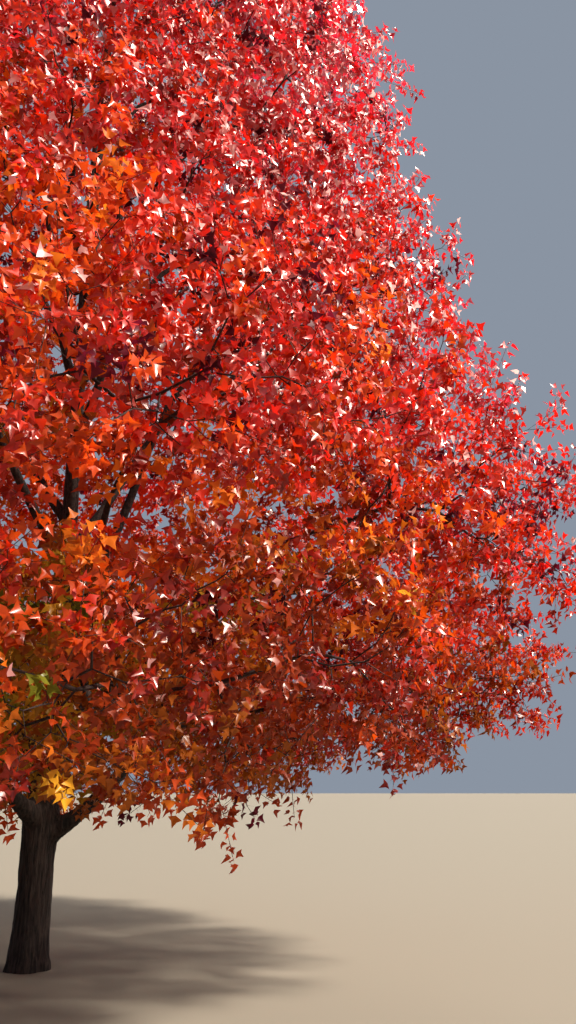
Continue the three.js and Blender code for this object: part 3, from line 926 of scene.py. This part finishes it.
def tube_arrays(twigs):
    """Closed tubes through the points of all twigs. A twig's radius follows the tips that it bears."""
    sizes = np.array([len(twig["points"]) for twig in twigs])
    first = np.concatenate([[0], np.cumsum(sizes)[:-1]])
    last = first + sizes - 1
    points = np.concatenate([twig["points"] for twig in twigs])
    radii = TWIG_TIP * np.concatenate([twig["bears"] for twig in twigs]) ** TWIG_GROWTH
    radii[first] *= TWIG_ROOT
    numbers = np.arange(len(points))
    before, after = np.maximum(numbers - 1, 0), np.minimum(numbers + 1, len(points) - 1)
    before[first], after[last] = first, last
    along = rows_unit(points[after] - points[before])
    across = rows_unit(np.cross(along, SLANT))
    third = np.cross(along, across)
    turns = np.arange(TWIG_SIDES) * 2 * math.pi / TWIG_SIDES
    ring = across[:, None] * np.cos(turns)[None, :, None] + third[:, None] * np.sin(turns)[None, :, None]
    vertices = (points[:, None] + radii[:, None, None] * ring).reshape(-1, 3)
    low = np.setdiff1d(numbers, last)
    side, following = np.arange(TWIG_SIDES), (np.arange(TWIG_SIDES) + 1) % TWIG_SIDES
    a, b = low[:, None] * TWIG_SIDES + side, low[:, None] * TWIG_SIDES + following
    walls = np.stack([a, b, b + TWIG_SIDES, a, b + TWIG_SIDES, a + TWIG_SIDES], axis=-1).reshape(-1, 3)
    feet = first[:, None] * TWIG_SIDES + side[::-1]
    ends = last[:, None] * TWIG_SIDES + side
    return vertices, np.concatenate([walls, feet, ends])


twigs = [twig for mass in masses for twig in mass["twigs"]]
twig_piece = mesh_piece("twigs", *tube_arrays(twigs), [TWIG_BARK])

# %% [markdown]
# ## Leaves
# A leaf of this tree has three pointed lobes, a crease along its middle and a thin stalk. It hangs from its
# stalk with its tip down and its upper side turned to the light. The leaves stand in opposite pairs along
# the last stretch of a twig, each pair turned across the one before it, with one more at the tip. All of
# them are made at once: the outline is placed by each leaf's three directions.

# %% One leaf
LEAF_OUTLINE = np.array([(0, 0), (0.22, 0.6), (0.47, 0.24), (1, 0), (0.47, -0.24), (0.22, -0.6)])
LEAF_FACES = np.array([(0, 2, 1), (0, 3, 2), (0, 4, 3), (0, 5, 4), (0, 6, 7)])
LEAF_PLEATS = np.array([0, -1, 1, -1, 1, -1])
STALK_WIDTH = 0.003
STALK_EDGES = np.array([-0.5, 0.5])


def leaf_corners(leaves):
    """The corners of each leaf, from its place, directions, size and bends."""
    crease, curl, pleat, size = (leaves[name][:, None, None] for name in ("crease", "curl", "pleat", "size"))
    node, foot, ahead, side, face = (
        leaves[name][:, None] for name in ("node", "foot", "ahead", "side", "face")
    )
    along, across = LEAF_OUTLINE[None, :, :1], LEAF_OUTLINE[None, :, 1:]
    lift = crease * np.abs(across) - curl * along**2 + pleat * LEAF_PLEATS[None, :, None]
    blade = foot + size * (along * ahead + across * side + lift * face)
    stalk = node + STALK_EDGES[None, :, None] * STALK_WIDTH * side
    return np.concatenate([blade, stalk], axis=1)


def leaf_faces(corners):
    """The triangles of leaves whose corners stand in one long list."""
    first = corners.shape[1] * np.arange(len(corners))
    return (LEAF_FACES[None] + first[:, None, None]).reshape(-1, 3)


# %% Leaves along the twigs
PAIR_PLACES = np.array([0.0, 0.045, 0.09, 0.14, 0.19, 0.245, 0.3])
PAIR_TWIST = 0.3
STALK_AHEAD, STALK_OUT = 0.6, 0.8
LEAF_WANDER = 0.3
LEAF_SIZES = (0.058, 0.088)
INNER_GROWTH = 1.45
LOW_SIZE = 0.8
STALK_LENGTHS = (0.028, 0.06)
DROOPS = (0.1, 1.2)
CREASES = (-0.4, 0.7)
CURLS = (-0.1, 0.7)
PLEATS = (-0.18, 0.18)
FACE_PULL = np.array([0.55, -0.25, 0.15])
FACE_TILT = 1.3
LIGHT_HEIGHT = 0.4
LIGHT_SHARES = (1, 1, 0.6)


def place_leaves(before, tips, random):
    """The leaves of all sprays, fifteen to a spray, as arrays of places and directions."""
    forward = rows_unit(tips - before)
    run = np.linalg.norm(tips - before, axis=1)
    level = rows_unit(np.cross(forward, UP))
    steep = np.cross(level, forward)
    first_turn = random.uniform(0, math.pi, len(tips))
    nodes, stalks, sprays = [tips], [forward], [np.arange(len(tips))]
    for number, place in enumerate(PAIR_PLACES):
        turn = first_turn + number * math.pi / 2 + random.uniform(-PAIR_TWIST, PAIR_TWIST, len(tips))
        out = level * np.cos(turn)[:, None] + steep * np.sin(turn)[:, None]
        node = tips - forward * np.minimum(place, run)[:, None]
        for sign in (1, -1):
            nodes.append(node)
            stalks.append(rows_unit(STALK_AHEAD * forward + STALK_OUT * sign * out))
            sprays.append(np.arange(len(tips)))
    node, stalk, spray = (np.concatenate(rows) for rows in (nodes, stalks, sprays))
    count = len(node)
    foot = node + stalk * random.uniform(*STALK_LENGTHS, count)[:, None]
    wander = LEAF_WANDER * random.normal(size=(count, 3))
    ahead = rows_unit(stalk + wander - UP * random.uniform(*DROOPS, count)[:, None])
    light = rows_unit((node - UP * LIGHT_HEIGHT * TREE_HEIGHT) * LIGHT_SHARES) + FACE_PULL
    face = rows_unit(light) + FACE_TILT * random.uniform(-0.5, 0.5, (count, 3))
    face = rows_unit(face - (face * ahead).sum(axis=1, keepdims=True) * ahead)
    grown = lerp(1, INNER_GROWTH, np.clip(depth_in_crown(node) / DEEPEST_TIP, 0, 1))
    grown *= lerp(LOW_SIZE, 1, rise_of(node))
    return {
        "spray": spray,
        "node": node,
        "foot": foot,
        "ahead": ahead,
        "face": face,
        "side": np.cross(face, ahead),
        "size": grown * random.uniform(*LEAF_SIZES, count),
        "crease": random.uniform(*CREASES, count),
        "curl": random.uniform(*CURLS, count),
        "pleat": random.uniform(*PLEATS, count),
    }


before = np.array([twig["points"][-2] for twig in twigs])
tips = np.array([twig["points"][-1] for twig in twigs])
tip_masses = np.concatenate([np.full(len(mass["twigs"]), i) for i, mass in enumerate(masses)])
leaves = place_leaves(before, tips, np.random.default_rng(71))
print("leaves", len(leaves["node"]))

# %% Leaves that stay within the tree's reach
fits = within_reach(leaf_corners(leaves)).all(axis=1)
leaves = {name: values[fits] for name, values in leaves.items()}
print("leaves that fit", len(leaves["node"]))

# %% [markdown]
# ## Autumn tints
# The leaves turn from the outside in. Those at the top and in the sun are crimson, the middle of the crown is
# scarlet, and the shaded inner and lowest ones pass through orange to gold with some green left. Each spray
# has one tint, dealt out by its place and by a slow noise, so that neighbours are alike. Dark maroon, a real
# tint of these leaves, is dealt more often deep in the crown and in slow clusters, where it also serves as
# painted shade. Each tint has three copies that differ only in brightness. These are painted shade and
# painted light: darker deep inside, low down and on the sun side, and lighter high up. A few patches of
# sprays differ in ripeness; some carry painted light, others painted shade. Single leaves, most of them high
# in the crown, are turned and show a paler underside, which also serves as a painted glint. A leaf is thin
# enough to glow when the light is behind it, so its shader mixes in some Translucent.

# %% Leaf finishes
TINTS = {
    "maroon": (96, 16, 34),
    "green_gold": (142, 142, 42),
    "gold": (226, 164, 44),
    "amber": (216, 112, 26),
    "orange": (214, 76, 12),
    "vermilion": (212, 44, 8),
    "scarlet": (208, 26, 14),
    "crimson": (198, 20, 30),
    "rose": (202, 26, 52),
}
# The pale underside is a real trait of red maple leaves; it is dealt where the light falls, as a painted
# glint too.
PALE_UNDERSIDE_GLINT = (240, 176, 172)
UNDERSIDE_SHEEN = 0.5
# Three brightnesses of each tint: the darker two are painted shade.
SHADES = (0.4, 0.7, 1.0)
GLOW = 0.42
GLOW_GAIN = 1.4
SHEENS = (0.1, 1.0)
SHEEN_RISE = 3
LEAF_ROUGHNESS, COAT_ROUGHNESS = 0.4, 0.25
LEAF_IORS, COAT_IOR = (1.45, 1.8), 1.8


def leaf_finish(name, colour, shade, sheen):
    """A thin satin leaf in one plain colour, darkened by the factor shade as painted shade, which also glows
    with light from behind.
    """
    material, shader = principled(name)
    nodes, link = material.node_tree.nodes, material.node_tree.links.new
    colour = [shade * value for value in srgb(*colour)[:3]] + [1]
    shader.inputs["Base Color"].default_value = colour
    shader.inputs["Roughness"].default_value = LEAF_ROUGHNESS
    shader.inputs["IOR"].default_value = lerp(*LEAF_IORS, sheen)
    shader.inputs["Specular IOR Level"].default_value = sheen
    shader.inputs["Coat Weight"].default_value = sheen
    shader.inputs["Coat IOR"].default_value = COAT_IOR
    shader.inputs["Coat Roughness"].default_value = COAT_ROUGHNESS
    glow = nodes.new("ShaderNodeBsdfTranslucent")
    glow.inputs["Color"].default_value = [min(1, GLOW_GAIN * value) for value in colour]
    both = nodes.new("ShaderNodeMixShader")
    both.inputs["Fac"].default_value = GLOW
    link(shader.outputs[0], both.inputs[1])
    link(glow.outputs[0], both.inputs[2])
    link(both.outputs[0], nodes["Material Output"].inputs["Surface"])
    return material


# Each tint in its three brightnesses of painted shade, then the pale underside that also serves as a painted
# glint.
LEAF_FINISHES = [
    leaf_finish(
        f"leaf_{name}_{number}", colour, shade, lerp(*SHEENS, (order / (len(TINTS) - 1)) ** SHEEN_RISE)
    )
    for order, (name, colour) in enumerate(TINTS.items())
    for number, shade in enumerate(SHADES, 1)
]
LEAF_FINISHES.append(leaf_finish("leaf_underside_glint", PALE_UNDERSIDE_GLINT, 1, UNDERSIDE_SHEEN))
print("leaf finishes", len(LEAF_FINISHES))


# %% Dealing the tints
RIPE_START = 0.28
RIPER_UPWARDS = 0.64
RIPER_IN_SUN = 0.26
SUN_SHARES = (-0.1, 1)
LESS_RIPE_INSIDE = 0.1
LESS_RIPE_AT_FORK, FORK_FADE = 0.36, 1.1
TINT_LENGTHS = (0.9, 3.2)
TINT_DRIFT, TINT_SCATTER = 0.13, 0.06
SHADE_SCATTER = 1.3
PAINTED_SHADE_BELOW, LOW_TOP, LOW_FADE = 1.8, 3.4, 1.4
PAINTED_LIGHT_ABOVE, HIGH_START = 1.2, 0.45
PAINTED_SHADE_IN_SUN = 0.7
MAROON_AND_SHADE_LENGTHS = (0.6, 1.6)
MAROON_AND_SHADE_SHARES = (0.02, 0.12)
MAROON_AND_SHADE_CREST, MAROON_AND_SHADE_CREST_SHARE = 1.2, 0.6
MAROON_AND_SHADE_FROM = 0.5
# The last column of the patches is painted light where positive and painted shade where negative: the bright
# gold patches near the fork stand for sunlit leaves, the others for a band of shade.
PATCHES = [  # middle, size, how much riper, how much lighter
    ((3.6, -3.1, 2.9), 0.8, -0.22, 1.2),
    ((1.7, -4.3, 3.2), 0.4, -0.1, 0.8),
    ((1.3, -3.7, 1.5), 0.35, -0.35, 2),
    ((1, -4.2, 2.1), 0.25, -0.3, 1.6),
    ((1.2, -4.4, 2.7), 0.35, -0.15, 0),
    ((2.5, -3.9, 3.5), 0.3, 0.1, -1.6),
    ((2.9, -3.7, 3.1), 0.35, 0.1, -1.6),
    ((2.7, -3.6, 2.4), 0.35, 0.1, -1.4),
    ((3.1, -3.2, 2.2), 0.35, 0.1, -1.4),
    ((2.2, -4.1, 2.8), 0.35, 0, -1.2),
    ((1.8, -4.3, 4.1), 0.4, 0, -1.2),
    ((1.2, -4.5, 3.8), 0.4, 0, -1.2),
    ((1.9, -4, 2.2), 0.5, 0, -1.2),
]


def tints_of(tips, random):
    """The number of each spray's finish: its tint and its copy of painted light and shade."""
    depth = np.clip(depth_in_crown(tips) / DEEPEST_TIP, 0, 1)
    height = tips[:, 2] / TREE_HEIGHT
    sun = np.clip(tips[:, 0] / CROWN_RADIUS, *SUN_SHARES)
    ripe = RIPE_START + RIPER_UPWARDS * height + RIPER_IN_SUN * sun - LESS_RIPE_INSIDE * depth
    ripe += TINT_DRIFT * slow_noise(tips, TINT_LENGTHS, random) + TINT_SCATTER * random.normal(size=len(tips))
    ripe -= LESS_RIPE_AT_FORK * np.exp(-np.linalg.norm(tips - UP * FORK_HEIGHT, axis=1) / FORK_FADE)
    # The shade number is painted shade and painted light: darker deep in the crown, below LOW_TOP and on the
    # sun side, and lighter in the upper crown.
    shade = len(SHADES) * (1 - depth * random.random(len(tips))) - SHADE_SCATTER * random.random(len(tips))
    shade -= PAINTED_SHADE_BELOW * np.clip((LOW_TOP - tips[:, 2]) / LOW_FADE, 0, 1)
    shade += PAINTED_LIGHT_ABOVE * np.clip(height - HIGH_START, 0, 0.5) - PAINTED_SHADE_IN_SUN * sun
    # Patches shift ripeness and add painted light where their last value is positive, and painted shade where
    # it is negative.
    for centre, size, riper, painted_light in PATCHES:
        near = np.exp(-(np.linalg.norm(tips - centre, axis=1) / size) ** 2)
        ripe += riper * near
        shade += painted_light * near
    tint = 1 + np.clip(np.floor(ripe * (len(TINTS) - 1)), 0, len(TINTS) - 2).astype(int)
    # Maroon, a real tint, is dealt more often deep in the crown and in slow clusters, where it is also
    # painted shade.
    dark = random.random(len(tips)) < lerp(*MAROON_AND_SHADE_SHARES, depth)
    crest = slow_noise(tips, MAROON_AND_SHADE_LENGTHS, random) > MAROON_AND_SHADE_CREST
    dark |= crest & (random.random(len(tips)) < MAROON_AND_SHADE_CREST_SHARE)
    tint[dark & (ripe > MAROON_AND_SHADE_FROM)] = 0
    return tint * len(SHADES) + np.clip(shade, 0, len(SHADES) - 1).round().astype(int)


# %% Turned leaves, partly painted glints
# Pale turned leaves grow more common upwards, where the light falls, so they also serve as painted glints.
TURNED_GLINT_SHARE = 0.09
TURNED_GLINT_HEIGHTS = (3, 8)
TURNED_GLINT_LOW_SHARE = 0.05


def leaf_numbers(leaves, tints, random):
    """The number of each leaf's finish, where that of the pale underside, which also serves as a painted
    glint, comes last.
    """
    low, high = TURNED_GLINT_HEIGHTS
    share = TURNED_GLINT_SHARE * np.clip((leaves["node"][:, 2] - low) / (high - low), TURNED_GLINT_LOW_SHARE, 1)
    turned = random.random(len(share)) < share
    return np.where(turned, len(LEAF_FINISHES) - 1, tints[leaves["spray"]])


tints = tints_of(tips, np.random.default_rng(83))
leaves["number"] = leaf_numbers(leaves, tints, np.random.default_rng(97))
print("sprays of each tint", np.bincount(tints // len(SHADES)))

# %% Leaf pieces by tier
MOST_TRIANGLES = 190000
SLOTS = {
    "skirt": "leaves_orange", "lower": "leaves_scarlet", "middle": "leaves_scarlet",
    "upper": "leaves_crimson", "shoulder": "leaves_crimson", "top": "leaves_crimson",
}
leaf_masses = tip_masses[leaves["spray"]]
leaf_counts = np.bincount(leaf_masses, minlength=len(masses))


def parts_of(tier):
    """The tier's masses in as many parts as keep each piece under the limit of triangles."""
    own = [i for i, mass in enumerate(masses) if mass["tier"] == tier]
    parts = math.ceil(leaf_counts[own].sum() * len(LEAF_FACES) / MOST_TRIANGLES)
    return [list(part) for part in np.array_split(own, parts)]


for tier, slot in SLOTS.items():
    for number, part in enumerate(parts_of(tier), 1):
        mine = np.isin(leaf_masses, part)
        own = {name: values[mine] for name, values in leaves.items()}
        corners = leaf_corners(own)
        numbers = np.repeat(own["number"], len(LEAF_FACES))
        name = f"leaves_{tier}_{number}"
        piece = mesh_piece(name, corners.reshape(-1, 3), leaf_faces(corners), LEAF_FINISHES, numbers)
        nodes = [f"foliage_{masses[i]['label']}" for i in part]
        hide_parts(*nodes)
        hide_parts(*nodes)
